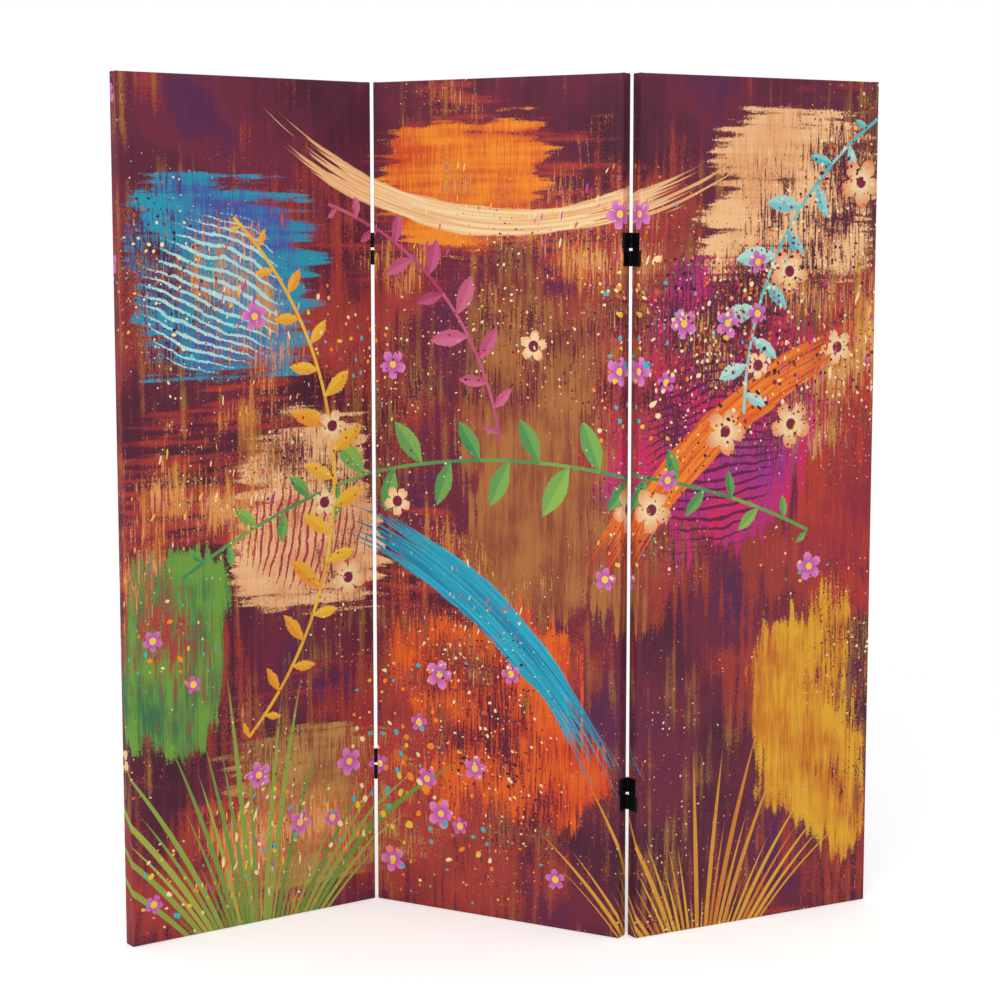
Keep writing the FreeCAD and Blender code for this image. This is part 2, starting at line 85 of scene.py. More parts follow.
def add(tree, kind, inputs, out=0, stops=(), **settings):
    """Adds one shader node, sets it, links or sets its inputs, and gives back one of its outputs."""
    node = tree.nodes.new("ShaderNode" + kind)
    for name, value in settings.items():
        setattr(node, name, value)
    for socket, value in inputs.items():
        if isinstance(value, bpy.types.NodeSocket):
            tree.links.new(value, node.inputs[socket])
        else:
            node.inputs[socket].default_value = value
    if stops:
        ramp = node.color_ramp.elements
        ramp.remove(ramp[1])
        for place, colour in stops[1:]:
            ramp.new(place).color = linear(colour)
        ramp[0].position = stops[0][0]
        ramp[0].color = linear(stops[0][1])
    return node.outputs[out]


def planed_pine(name, turn, grain):
    """Pale early wood with darker late-wood lines along the piece, and a dull planed sheen."""
    finish, tree, shader = new_finish(name)
    place = add(tree, "TexCoord", {}, out="Object")
    square = add(tree, "VectorRotate", {"Vector": place, "Angle": math.radians(-turn)},
                 rotation_type="Z_AXIS")
    close, far = WAVE_PERIOD / RING_SPACING, 1 / FIBRE_LENGTH
    scale = (far, close, close) if grain == "x" else (close, close, far)
    fitted = add(tree, "Mapping", {"Vector": square, "Scale": scale})
    rings = add(tree, "TexWave", {"Vector": fitted, "Scale": 1.0, "Distortion": 3.0, "Detail": 2.0,
                                  "Detail Scale": 0.4}, out="Fac", bands_direction="Y")
    fibre = add(tree, "TexNoise", {"Vector": fitted, "Scale": 0.5, "Detail": 3.0}, out="Fac")
    tone = add(tree, "Math", {0: rings, 1: fibre}, operation="MULTIPLY")
    colour = add(tree, "ValToRGB", {0: tone}, stops=((0.0, "#e3c593"), (0.45, "#d3a96d"), (0.8, "#a97442")))
    tree.links.new(colour, shader.inputs["Base Color"])
    rough = add(tree, "MapRange", {0: fibre, 3: 0.5, 4: 0.7})
    tree.links.new(rough, shader.inputs["Roughness"])
    relief = add(tree, "Bump", {"Height": rings, "Strength": 0.15, "Distance": 0.0003})
    tree.links.new(relief, shader.inputs["Normal"])
    return finish


for panel in PANELS:
    upright = planed_pine(f"planed_pine_{panel}_stiles", PANEL_TURN[panel], "z")
    level = planed_pine(f"planed_pine_{panel}_rails", PANEL_TURN[panel], "x")
    for member in ("left_stile", "right_stile", "top_rail", "upper_rail", "lower_rail", "bottom_rail"):
        node = frame["nodes"][f"{panel}_panel_{member}"]
        node.data.materials.clear()
        node.data.materials.append(upright if member.endswith("stile") else level)

# Front canvases
# Cotton canvas printed in colour, stretched over the frame, folded at the top corners and turned 25 mm
# onto the back. The print runs on from panel to panel and round each panel's edges.
PANEL_WIDTH = 0.600
PANEL_HEIGHT = 1.800
PANEL_DEPTH = 0.033
WRAP_DEPTH = 0.0324
CANVAS_THICK = 0.0006
CANVAS_RETURN = 0.025
EDGE_RADIUS = 0.0032
CORNER_RADIUS = 0.0014
BACK_EDGE_RADIUS = 0.0012
STILE_FACE = 0.0407
BAYS = ((0.0407, 0.5869), (0.6269, 1.1731), (1.2131, 1.7594))
BAY_DIP = 0.0012
CUTS_ACROSS = 20
CUTS_UP = 60
FRONT_FACE = 1e-6


def pick(piece, kind, test):
    """Selects, in edit mode, the corners, edges or faces of a piece that pass a test."""
    bpy.ops.mesh.select_mode(type=kind)
    bpy.ops.mesh.select_all(action="DESELECT")
    shape = bmesh.from_edit_mesh(piece.data)
    for part in {"VERT": shape.verts, "EDGE": shape.edges, "FACE": shape.faces}[kind]:
        part.select_set(test(part))
    shape.select_flush_mode()
    bmesh.update_edit_mesh(piece.data)


def slice_up(axis, places):
    """Cuts the piece in edit mode all through, across one axis at each of the places."""
    along = [1.0 if i == axis else 0.0 for i in range(3)]
    for place in places:
        bpy.ops.mesh.select_all(action="SELECT")
        bpy.ops.mesh.bisect(plane_co=[place * a for a in along], plane_no=along)


def panel_foot(panel):
    """The middle of the strip that a panel stands on."""
    return Vector(next(m for m in frame["record"]["mounts"] if m["name"] == f"{panel}_panel_foot")["pos_m"])


def put_on_panel(piece, panel):
    """Takes a piece from a panel's own frame to where that panel stands."""
    turned = Matrix.Rotation(math.radians(PANEL_TURN[panel]), 4, "Z")
    middle = Matrix.Translation((-PANEL_WIDTH / 2, -PANEL_DEPTH / 2, 0.0))
    piece.data.transform(Matrix.Translation(panel_foot(panel)) @ turned @ middle)


def copy_of(piece, name):
    """A copy of a piece with a mesh of its own."""
    twin = piece.copy()
    twin.data = piece.data.copy()
    twin.name = name
    bpy.context.collection.objects.link(twin)
    return twin


def apply_all(piece):
    """Applies a piece's modifiers in their order."""
    bpy.context.view_layer.objects.active = piece
    for modifier in [m.name for m in piece.modifiers]:
        bpy.ops.object.modifier_apply(modifier=modifier)


bpy.ops.mesh.primitive_cube_add(size=1.0, location=(PANEL_WIDTH / 2, WRAP_DEPTH / 2, PANEL_HEIGHT / 2))
wrap = bpy.context.object
wrap.scale = (PANEL_WIDTH, WRAP_DEPTH, PANEL_HEIGHT)
bpy.ops.object.transform_apply(location=True, rotation=True, scale=True)
bpy.ops.object.mode_set(mode="EDIT")
pick(wrap, "FACE", lambda face: face.normal.y > 0.9)
bpy.ops.mesh.delete(type="FACE")
pick(wrap, "EDGE", lambda edge: edge.is_boundary)
bpy.ops.mesh.extrude_edges_move(TRANSFORM_OT_translate={"value": (0.0, 0.0, 0.0)})
bpy.ops.transform.resize(
    value=(1 - 2 * CANVAS_RETURN / PANEL_WIDTH, 1.0, 1 - 2 * CANVAS_RETURN / PANEL_HEIGHT),
    center_override=(PANEL_WIDTH / 2, WRAP_DEPTH, PANEL_HEIGHT / 2))
bpy.ops.mesh.select_all(action="SELECT")
bpy.ops.mesh.normals_make_consistent(inside=False)
for behind, radius in ((0, EDGE_RADIUS), (1, CORNER_RADIUS), (2, BACK_EDGE_RADIUS)):
    pick(wrap, "EDGE", lambda edge: not edge.is_boundary and edge.calc_face_angle() > 1.0
         and sum(v.co.y > WRAP_DEPTH / 2 for v in edge.verts) == behind)
    bpy.ops.transform.edge_bevelweight(value=radius / EDGE_RADIUS)
bpy.ops.object.mode_set(mode="OBJECT")
rounding = wrap.modifiers.new("rounding", "BEVEL")
rounding.width = EDGE_RADIUS
rounding.segments = 4
rounding.limit_method = "WEIGHT"
apply_all(wrap)
bpy.ops.object.mode_set(mode="EDIT")
slice_up(0, [PANEL_WIDTH * i / CUTS_ACROSS for i in range(1, CUTS_ACROSS)])
slice_up(2, [PANEL_HEIGHT * i / CUTS_UP for i in range(1, CUTS_UP)])
bpy.ops.object.mode_set(mode="OBJECT")


def print_place(point, middle):
    """Where a point of a face of the wrap lies on the print, in metres, unfolded from the front."""
    x, y, z = point
    from_right, from_top = PANEL_WIDTH - middle.x, PANEL_HEIGHT - middle.z
    side = min((middle.x, "left"), (from_right, "right"), (middle.z, "bottom"), (from_top, "top"))[1]
    inward = 1.0 if y < WRAP_DEPTH / 2 else -1.0
    if side == "left":
        return inward * x - y, z
    if side == "right":
        return PANEL_WIDTH - inward * (PANEL_WIDTH - x) + y, z
    if side == "bottom":
        return x, inward * z - y
    return x, PANEL_HEIGHT - inward * (PANEL_HEIGHT - z) + y


def lay_print(piece):
    """Gives every face of a piece its place on the print."""
    print_map = piece.data.uv_layers.active or piece.data.uv_layers.new(name="print")
    print_map.name = "print"
    for face in piece.data.polygons:
        for loop in face.loop_indices:
            point = piece.data.vertices[piece.data.loops[loop].vertex_index].co
            print_map.data[loop].uv = print_place(point, face.center)


lay_print(wrap)
for corner in wrap.data.vertices:
    x, y, z = corner.co
    across = (x - STILE_FACE) / (PANEL_WIDTH - 2 * STILE_FACE)
    for low, high in BAYS:
        up = (z - low) / (high - low)
        if y < FRONT_FACE and 0 < across < 1 and 0 < up < 1:
            corner.co.y = BAY_DIP * math.sin(math.pi * across) * math.sin(math.pi * up)
wall = wrap.modifiers.new("canvas_wall", "SOLIDIFY")
wall.thickness = CANVAS_THICK
wall.offset = -1.0
apply_all(wrap)
bpy.ops.object.shade_smooth_by_angle(angle=math.radians(40))

# At each top corner the spare canvas is folded flat into a three-cornered flap on the panel's top
FOLD_LENGTH = 0.029
for edge, toward in ((CORNER_RADIUS, 1.0), (PANEL_WIDTH - CORNER_RADIUS, -1.0)):
    bpy.ops.object.select_all(action="DESELECT")
    middle = (edge + toward * FOLD_LENGTH / 2, WRAP_DEPTH / 2, PANEL_HEIGHT)
    bpy.ops.mesh.primitive_plane_add(size=FOLD_LENGTH, location=middle)
    fold = bpy.context.object
    bpy.ops.object.transform_apply(location=True, rotation=True, scale=True)
    bpy.ops.object.mode_set(mode="EDIT")
    bpy.ops.mesh.select_all(action="SELECT")
    bpy.ops.mesh.bisect(plane_co=middle, plane_no=(toward, -1.0, 0.0), clear_outer=True)
    bpy.ops.mesh.select_all(action="SELECT")
    bpy.ops.mesh.extrude_region_move(TRANSFORM_OT_translate={"value": (0.0, 0.0, CANVAS_THICK)})
    bpy.ops.mesh.select_all(action="SELECT")
    bpy.ops.mesh.normals_make_consistent(inside=False)
    pick(fold, "EDGE", lambda line: all(v.co.z > PANEL_HEIGHT + CANVAS_THICK / 2 for v in line.verts))
    bpy.ops.mesh.bevel(offset=CANVAS_THICK / 2, segments=2, affect="EDGES")
    bpy.ops.object.mode_set(mode="OBJECT")
    lay_print(fold)
    wrap.select_set(True)
    bpy.context.view_layer.objects.active = wrap
    bpy.ops.object.join()

# The print is a generic painted garden: a plum ground scrubbed with browns, washes of colour, brush
# strokes, grass, leafy stems and blossoms. Its sizes are in metres from the left panel's left foot.
STREAK_WIDTH = 0.018
STREAK_LENGTH = 0.30
SCRATCH_WIDTH = 0.005
SCRATCH_LENGTH = 0.07
BRISTLE_WIDTH = 0.006
CLOUD_SIZE = 0.12
PATCH_SIZE = 0.30
DRIFT_SIZE = 0.50
GRIT_SIZE = 0.005
# Real threads lie about half a millimetre apart, too fine to show here, so the weave is drawn coarser
THREAD_SPACING = 0.0024
LEAF_LEAN = 62


def lay_colour(tree, under, cover, tone, colours):
    """Lays a coat over what is under it: two colours mixed by tone, as thick as cover says."""
    first, second = map(linear, colours)
    colour = add(tree, "Mix", {0: tone, 6: first, 7: second}, out=2, data_type="RGBA")
    return add(tree, "Mix", {0: cover, 6: under, 7: colour}, out=2, data_type="RGBA")


def polar(tree, place, centre):
    """Distance and angle of each point of the print from a centre."""
    away = add(tree, "VectorMath", {0: place, 1: (*centre, 0.0)}, operation="SUBTRACT")
    reach = add(tree, "VectorMath", {0: away}, out="Value", operation="LENGTH")
    parts = add(tree, "SeparateXYZ", {0: away}).node.outputs
    return reach, add(tree, "Math", {0: parts[1], 1: parts[0]}, operation="ARCTAN2")


def away_from_middle(tree, angle, span):
    """How far along a curve a point lies from the middle of its span, 1 at the span's ends."""
    middle, half = math.radians((span[0] + span[1]) / 2), math.radians((span[1] - span[0]) / 2)
    run = add(tree, "MapRange", {0: angle, 1: middle - half, 2: middle + half, 3: -1.0, 4: 1.0},
              clamp=False)
    return add(tree, "Math", {0: run}, operation="ABSOLUTE")


def drifts(tree, place):
    """Three slow swells over the print, each its own, that say where a thing lies thick or thin."""
    swell = add(tree, "TexNoise", {"Vector": place, "Scale": 1 / DRIFT_SIZE, "Detail": 3.0, "W": 7.0},
                out="Color", noise_dimensions="4D")
    parts = add(tree, "SeparateColor", {0: swell}).node.outputs
    return {"drift": parts[0], "second_drift": parts[1], "third_drift": parts[2]}


def dry_scrub(tree, brush, under, way, where, share, colours):
    """Colour dragged on with a nearly dry brush, which catches in streaks and leaves the rest bare."""
    catch = add(tree, "Math", {0: brush[way], 1: 0.45, 2: brush[where]}, operation="MULTIPLY_ADD")
    catch = add(tree, "Math", {0: brush["cloud"], 1: 0.3, 2: catch}, operation="MULTIPLY_ADD")
    catch = add(tree, "Math", {0: brush["grit"], 1: 0.2, 2: catch}, operation="MULTIPLY_ADD")
    cover = add(tree, "MapRange", {0: catch, 1: 1.17 - 0.5 * share, 2: 1.27 - 0.5 * share})
    tone = add(tree, "MapRange", {0: brush["grit"], 1: 0.3, 2: 0.7})
    return lay_colour(tree, under, cover, tone, colours)


def brush_wash(tree, brush, under, centre, size, turn, way, colours):
    """A broad patch of two colours scrubbed on solidly, ragged at its edges."""
    local = add(tree, "Mapping", {"Vector": brush["place"], "Location": (*centre, 0.0),
                                  "Rotation": (0.0, 0.0, math.radians(turn)), "Scale": (*size, 1.0)},
                vector_type="TEXTURE")
    squared = add(tree, "VectorMath", {0: local, 1: local}, operation="MULTIPLY")
    reach = add(tree, "VectorMath", {0: squared}, out="Value", operation="LENGTH")
    ragged = add(tree, "Math", {0: brush["patch"], 1: 1.6, 2: reach}, operation="MULTIPLY_ADD")
    worn = add(tree, "Math", {0: brush[way], 1: 1.0, 2: ragged}, operation="MULTIPLY_ADD")
    worn = add(tree, "Math", {0: brush["grit"], 1: 0.3, 2: worn}, operation="MULTIPLY_ADD")
    cover = add(tree, "MapRange", {0: worn, 1: 2.08, 2: 1.96, 3: 0.0, 4: 1.0})
    tone = add(tree, "Math", {0: brush[way], 1: 0.6, 2: brush["cloud"]}, operation="MULTIPLY_ADD")
    tone = add(tree, "Math", {0: brush["scratch"], 1: 0.6, 2: tone}, operation="MULTIPLY_ADD")
    tone = add(tree, "MapRange", {0: tone, 1: 0.92, 2: 1.28})
    return lay_colour(tree, under, cover, tone, colours)


def combed_lines(tree, brush, under, centre, size, turn, spacing, colours):
    """Wavy lines drawn side by side through wet paint with a comb, fading out at the edges."""
    local = add(tree, "Mapping", {"Vector": brush["wavy"], "Location": (*centre, 0.0),
                                  "Rotation": (0.0, 0.0, math.radians(turn))}, vector_type="TEXTURE")
    parts = add(tree, "SeparateXYZ", {0: local}).node.outputs
    wave = add(tree, "Math", {0: parts[1], 1: 2 * math.pi / spacing}, operation="MULTIPLY")
    wave = add(tree, "Math", {0: wave}, operation="SINE")
    line = add(tree, "Math", {0: brush["grit"], 1: 1.0, 2: wave}, operation="MULTIPLY_ADD")
    sized = add(tree, "VectorMath", {0: local, 1: (1 / size[0], 1 / size[1], 0.0)}, operation="MULTIPLY")
    reach = add(tree, "VectorMath", {0: sized}, out="Value", operation="LENGTH")
    fade = add(tree, "MapRange", {0: reach, 1: 0.6, 2: 1.0, 3: 0.9, 4: 1.8})
    edge = add(tree, "Math", {0: fade, 1: 0.25}, operation="ADD")
    cover = add(tree, "MapRange", {0: line, 1: fade, 2: edge})
    return lay_colour(tree, under, cover, brush["cross"], colours)


def brush_sweep(tree, brush, under, centre, radius, width, span, colours, seed):
    """One long curved brush stroke, full in the middle, dry at both ends, with bristle marks along it."""
    reach, angle = polar(tree, brush["place"], centre)
    bristles = width / 2 / BRISTLE_WIDTH
    across = add(tree, "MapRange", {0: reach, 1: radius - width / 2, 2: radius + width / 2,
                                    3: -bristles, 4: bristles}, clamp=False)
    along = add(tree, "Math", {0: angle, 1: radius / STREAK_LENGTH}, operation="MULTIPLY")
    lane = add(tree, "CombineXYZ", {0: along, 1: across, 2: seed})
    bristle = add(tree, "TexNoise", {"Vector": lane, "Scale": 1.0, "Detail": 2.0}, out="Fac")
    run = away_from_middle(tree, angle, span)
    dry = add(tree, "MapRange", {0: run, 1: 0.3, 2: 1.0, 3: 0.25, 4: 0.85})
    damp = add(tree, "Math", {0: dry, 1: 0.06}, operation="ADD")
    cover = add(tree, "MapRange", {0: bristle, 1: dry, 2: damp})
    rim = add(tree, "Math", {0: across}, operation="ABSOLUTE")
    rim = add(tree, "Math", {0: brush["patch"], 1: 1.2 * bristles, 2: rim}, operation="MULTIPLY_ADD")
    body = add(tree, "MapRange", {0: rim, 1: 1.6 * bristles, 2: 1.5 * bristles, 3: 0.0, 4: 1.0})
    cover = add(tree, "Math", {0: cover, 1: body}, operation="MULTIPLY")
    tone = add(tree, "MapRange", {0: bristle, 1: 0.40, 2: 0.62})
    return lay_colour(tree, under, cover, tone, colours)


def grass_tuft(tree, brush, under, centre, height, spread, blade, colours, seed):
    """A fan of narrow grass blades of different lengths, bending outwards as they rise."""
    reach, angle = polar(tree, brush["place"], centre)
    off = add(tree, "Math", {0: angle, 1: math.pi / 2}, operation="SUBTRACT")
    bend = add(tree, "MapRange", {0: reach, 1: 0.0, 2: height, 3: 0.8, 4: 1.5})
    off = add(tree, "Math", {0: off, 1: bend}, operation="DIVIDE")
    count = add(tree, "Math", {0: off, 1: 1 / blade}, operation="MULTIPLY")
    cell = add(tree, "Math", {0: count}, operation="FLOOR")
    inside = add(tree, "Math", {0: count}, operation="FRACT")
    across = add(tree, "Math", {0: inside, 1: 0.5}, operation="SUBTRACT")
    across = add(tree, "Math", {0: across}, operation="ABSOLUTE")
    chance = add(tree, "TexWhiteNoise", {"W": add(tree, "Math", {0: cell, 1: seed}, operation="ADD")},
                 out="Color", noise_dimensions="1D")
    chance = add(tree, "SeparateColor", {0: chance}).node.outputs
    grown = add(tree, "MapRange", {0: chance[0], 3: 0.45 * height, 4: height})
    left = add(tree, "MapRange", {0: reach, 1: 0.0, 2: grown, 3: 0.75, 4: 0.0})
    gap = add(tree, "Math", {0: left, 1: across}, operation="SUBTRACT")
    cover = add(tree, "MapRange", {0: gap, 1: 0.0, 2: 0.06})
    fan = add(tree, "Math", {0: off}, operation="ABSOLUTE")
    fan = add(tree, "Math", {0: fan, 1: math.radians(spread)}, operation="LESS_THAN")
    cover = add(tree, "Math", {0: cover, 1: fan}, operation="MULTIPLY")
    return lay_colour(tree, under, cover, chance[1], colours)


def leafy_stem(tree, brush, under, centre, radius, span, leaf, colours, seed):
    """A curved stem with pointed leaves set left and right of it by turns, each half a tone apart."""
    reach, angle = polar(tree, brush["place"], centre)
    step = 0.6 * leaf / radius
    count = add(tree, "Math", {0: angle, 1: 1 / step}, operation="MULTIPLY")
    cell = add(tree, "Math", {0: count}, operation="FLOOR")
    inside = add(tree, "Math", {0: count}, operation="FRACT")
    chance = add(tree, "TexWhiteNoise", {"W": add(tree, "Math", {0: cell, 1: seed}, operation="ADD")},
                 noise_dimensions="1D")
    side = add(tree, "Math", {0: cell, 1: 1.0}, operation="PINGPONG")
    side = add(tree, "MapRange", {0: side, 3: -1.0, 4: 1.0})
    off = add(tree, "Math", {0: reach, 1: radius}, operation="SUBTRACT")
    across = add(tree, "Math", {0: off, 1: side}, operation="MULTIPLY")
    along = add(tree, "Math", {0: inside, 1: step * radius}, operation="MULTIPLY")
    spot = add(tree, "CombineXYZ", {0: along, 1: across})
    turned = add(tree, "VectorRotate", {"Vector": spot, "Angle": math.radians(-LEAF_LEAN)},
                 rotation_type="Z_AXIS")
    parts = add(tree, "SeparateXYZ", {0: turned}).node.outputs
    run = away_from_middle(tree, angle, span)
    taper = add(tree, "MapRange", {0: run, 1: 0.3, 2: 1.0, 3: leaf, 4: 0.35 * leaf})
    grown = add(tree, "MapRange", {0: chance, 3: 0.75, 4: 1.1})
    grown = add(tree, "Math", {0: grown, 1: taper}, operation="MULTIPLY")
    length = add(tree, "Math", {0: parts[0], 1: grown}, operation="DIVIDE")
    left = add(tree, "Math", {0: 1.0, 1: length}, operation="SUBTRACT")
    bulge = add(tree, "Math", {0: length, 1: left}, operation="MULTIPLY")
    bulge = add(tree, "Math", {0: bulge, 1: grown}, operation="MULTIPLY")
    half = add(tree, "Math", {0: parts[1]}, operation="ABSOLUTE")
    shape = add(tree, "Math", {0: bulge, 1: 0.8, 2: -0.004}, operation="MULTIPLY_ADD")
    shape = add(tree, "Math", {0: shape, 1: half}, operation="SUBTRACT")
    shape = add(tree, "Math", {0: brush["grit"], 1: 0.008, 2: shape}, operation="MULTIPLY_ADD")
    cover = add(tree, "MapRange", {0: shape, 1: 0.0, 2: 0.0015})
    line = add(tree, "Math", {0: off}, operation="ABSOLUTE")
    line = add(tree, "MapRange", {0: line, 1: 0.0042, 2: 0.003, 3: 0.0, 4: 1.0})
    cover = add(tree, "Math", {0: cover, 1: line}, operation="MAXIMUM")
    kept = add(tree, "Math", {0: run, 1: 1.0}, operation="LESS_THAN")
    cover = add(tree, "Math", {0: cover, 1: kept}, operation="MULTIPLY")
    face = add(tree, "MapRange", {0: parts[1], 1: -0.001, 2: 0.001})
    tone = add(tree, "Math", {0: face, 1: 0.5, 2: chance}, operation="MULTIPLY_ADD")
    tone = add(tree, "Math", {0: tone, 1: 0.667}, operation="MULTIPLY")
    return lay_colour(tree, under, cover, tone, colours)


def blossoms(tree, brush, under, spacing, radius, where, share, colours, eye, seed):
    """Loose five-petalled blossoms, strewn thickly in some places and not at all in others."""
    local = add(tree, "Mapping", {"Vector": brush["place"], "Location": (seed, seed, 0.0),
                                  "Scale": (spacing, spacing, 1.0)}, vector_type="TEXTURE")
    cells = add(tree, "TexVoronoi", {"Vector": local, "Scale": 1.0, "Randomness": 0.6},
                voronoi_dimensions="2D").node.outputs
    heart = add(tree, "Mapping", {"Vector": cells["Position"], "Location": (seed, seed, 0.0),
                                  "Scale": (spacing, spacing, 1.0)})
    chance = add(tree, "SeparateColor", {0: cells["Color"]}).node.outputs
    away = add(tree, "VectorMath", {0: local, 1: cells["Position"]}, operation="SUBTRACT")
    parts = add(tree, "SeparateXYZ", {0: away}).node.outputs
    angle = add(tree, "Math", {0: parts[1], 1: parts[0]}, operation="ARCTAN2")
    angle = add(tree, "Math", {0: chance[2], 1: 2.0, 2: angle}, operation="MULTIPLY_ADD")
    lobe = add(tree, "Math", {0: angle, 1: 2.5}, operation="MULTIPLY")
    lobe = add(tree, "Math", {0: lobe}, operation="COSINE")
    lobe = add(tree, "Math", {0: lobe}, operation="ABSOLUTE")
    lobe = add(tree, "Math", {0: lobe, 1: 0.55}, operation="POWER")
    size = radius / spacing
    lobe = add(tree, "MapRange", {0: lobe, 3: 0.35 * size, 4: size})
    grown = add(tree, "MapRange", {0: chance[0], 3: 0.6, 4: 1.1})
    lobe = add(tree, "Math", {0: lobe, 1: grown}, operation="MULTIPLY")
    lobe = add(tree, "Math", {0: brush["grit"], 1: 0.25 * size, 2: lobe}, operation="MULTIPLY_ADD")
    edge = add(tree, "Math", {0: lobe, 1: cells["Distance"]}, operation="SUBTRACT")
    cover = add(tree, "MapRange", {0: edge, 1: 0.125 * size, 2: 0.16 * size})
    swell = drifts(tree, heart)[where]
    thick = add(tree, "Math", {0: chance[1], 1: 0.25, 2: swell}, operation="MULTIPLY_ADD")
    thick = add(tree, "Math", {0: thick, 1: 0.9 - 0.5 * share}, operation="GREATER_THAN")
    cover = add(tree, "Math", {0: cover, 1: thick}, operation="MULTIPLY")
    tone = add(tree, "MapRange", {0: cells["Distance"], 1: 0.2 * size, 2: size})
    under = lay_colour(tree, under, cover, tone, colours)
    middle = add(tree, "MapRange", {0: cells["Distance"], 1: 0.27 * size, 2: 0.22 * size, 3: 0.0, 4: 1.0})
    middle = add(tree, "Math", {0: middle, 1: thick}, operation="MULTIPLY")
    return add(tree, "Mix", {0: middle, 6: under, 7: linear(eye)}, out=2, data_type="RGBA")


def paint_spots(tree, brush, under, size, turn, where, share, colours, seed):
    """Flicked spots and short dabs of a few colours, all one way, thick in places and absent in others."""
    local = add(tree, "Mapping", {"Vector": brush["wavy"], "Location": (seed, seed, 0.0),
                                  "Rotation": (0.0, 0.0, math.radians(turn)), "Scale": (*size, 1.0)},
                vector_type="TEXTURE")
    cells = add(tree, "TexVoronoi", {"Vector": local, "Scale": 1.0}, voronoi_dimensions="2D").node.outputs
    chance = add(tree, "SeparateColor", {0: cells["Color"]}).node.outputs
    drift = add(tree, "MapRange", {0: brush[where], 1: 0.68 - share, 2: 0.92 - share, 4: 0.42})
    grown = add(tree, "Math", {0: chance[0], 1: drift}, operation="MULTIPLY")
    edge = add(tree, "Math", {0: grown, 1: cells["Distance"]}, operation="SUBTRACT")
    cover = add(tree, "MapRange", {0: edge, 1: 0.0, 2: 0.05})
    steps = [(i / len(colours), colour) for i, colour in enumerate(colours)]
    colour = add(tree, "ValToRGB", {0: chance[1]}, stops=steps)
    colour.node.color_ramp.interpolation = "CONSTANT"
    return add(tree, "Mix", {0: cover, 6: under, 7: colour}, out=2, data_type="RGBA")


def printed_canvas(name, ground, layers):
    """Matt ink on cotton canvas: painted colours on a fine plain weave, with hardly any shine."""
    finish, tree, shader = new_finish(name)
    place = add(tree, "UVMap", {}, uv_map="print")
    upright = add(tree, "Mapping", {"Vector": place, "Scale": (1 / STREAK_WIDTH, 1 / STREAK_LENGTH, 1.0)})
    level = add(tree, "Mapping", {"Vector": place, "Scale": (1 / STREAK_LENGTH, 1 / STREAK_WIDTH, 1.0)})
    fine = add(tree, "Mapping", {"Vector": place, "Scale": (1 / SCRATCH_WIDTH, 1 / SCRATCH_LENGTH, 1.0)})
    patch = add(tree, "TexNoise", {"Vector": place, "Scale": 1 / PATCH_SIZE, "Detail": 5.0},
                noise_dimensions="2D").node.outputs
    brush = {
        "place": place,
        "wavy": add(tree, "VectorMath", {0: patch["Color"], 1: (0.10, 0.10, 0.0), 2: place},
                    operation="MULTIPLY_ADD"),
        "patch": patch["Fac"],
        **drifts(tree, place),
        "cloud": add(tree, "TexNoise", {"Vector": place, "Scale": 1 / CLOUD_SIZE, "Detail": 4.0},
                     noise_dimensions="2D"),
        "streak": add(tree, "TexNoise", {"Vector": upright, "Scale": 1.0, "Detail": 4.0},
                      noise_dimensions="2D"),
        "cross": add(tree, "TexNoise", {"Vector": level, "Scale": 1.0, "Detail": 4.0},
                     noise_dimensions="2D"),
        "scratch": add(tree, "TexNoise", {"Vector": fine, "Scale": 1.0, "Detail": 3.0},
                       noise_dimensions="2D"),
        "grit": add(tree, "TexNoise", {"Vector": place, "Scale": 1 / GRIT_SIZE, "Detail": 2.0},
                    noise_dimensions="2D"),
    }
    tone = add(tree, "Math", {0: brush["streak"], 1: 0.2, 2: patch["Fac"]}, operation="MULTIPLY_ADD")
    tone = add(tree, "MapRange", {0: tone, 1: 0.38, 2: 0.82})
    colour = add(tree, "ValToRGB", {0: tone}, stops=ground)
    for lay, *values in layers:
        colour = lay(tree, brush, colour, *values)
    tree.links.new(colour, shader.inputs["Base Color"])
    turns = 2 * math.pi / THREAD_SPACING
    threads = add(tree, "VectorMath", {0: place, 1: (turns, turns, 0.0)}, operation="MULTIPLY")
    threads = add(tree, "VectorMath", {0: threads}, operation="SINE")
    threads = add(tree, "SeparateXYZ", {0: threads}).node.outputs
    weave = add(tree, "Math", {0: threads[0], 1: threads[1]}, operation="MULTIPLY")
    relief = add(tree, "Bump", {"Height": weave, "Strength": 0.25, "Distance": 0.0002})
    tree.links.new(relief, shader.inputs["Normal"])
    shader.inputs["Roughness"].default_value = 0.72
    shader.inputs["Specular IOR Level"].default_value = 0.3
    return finish


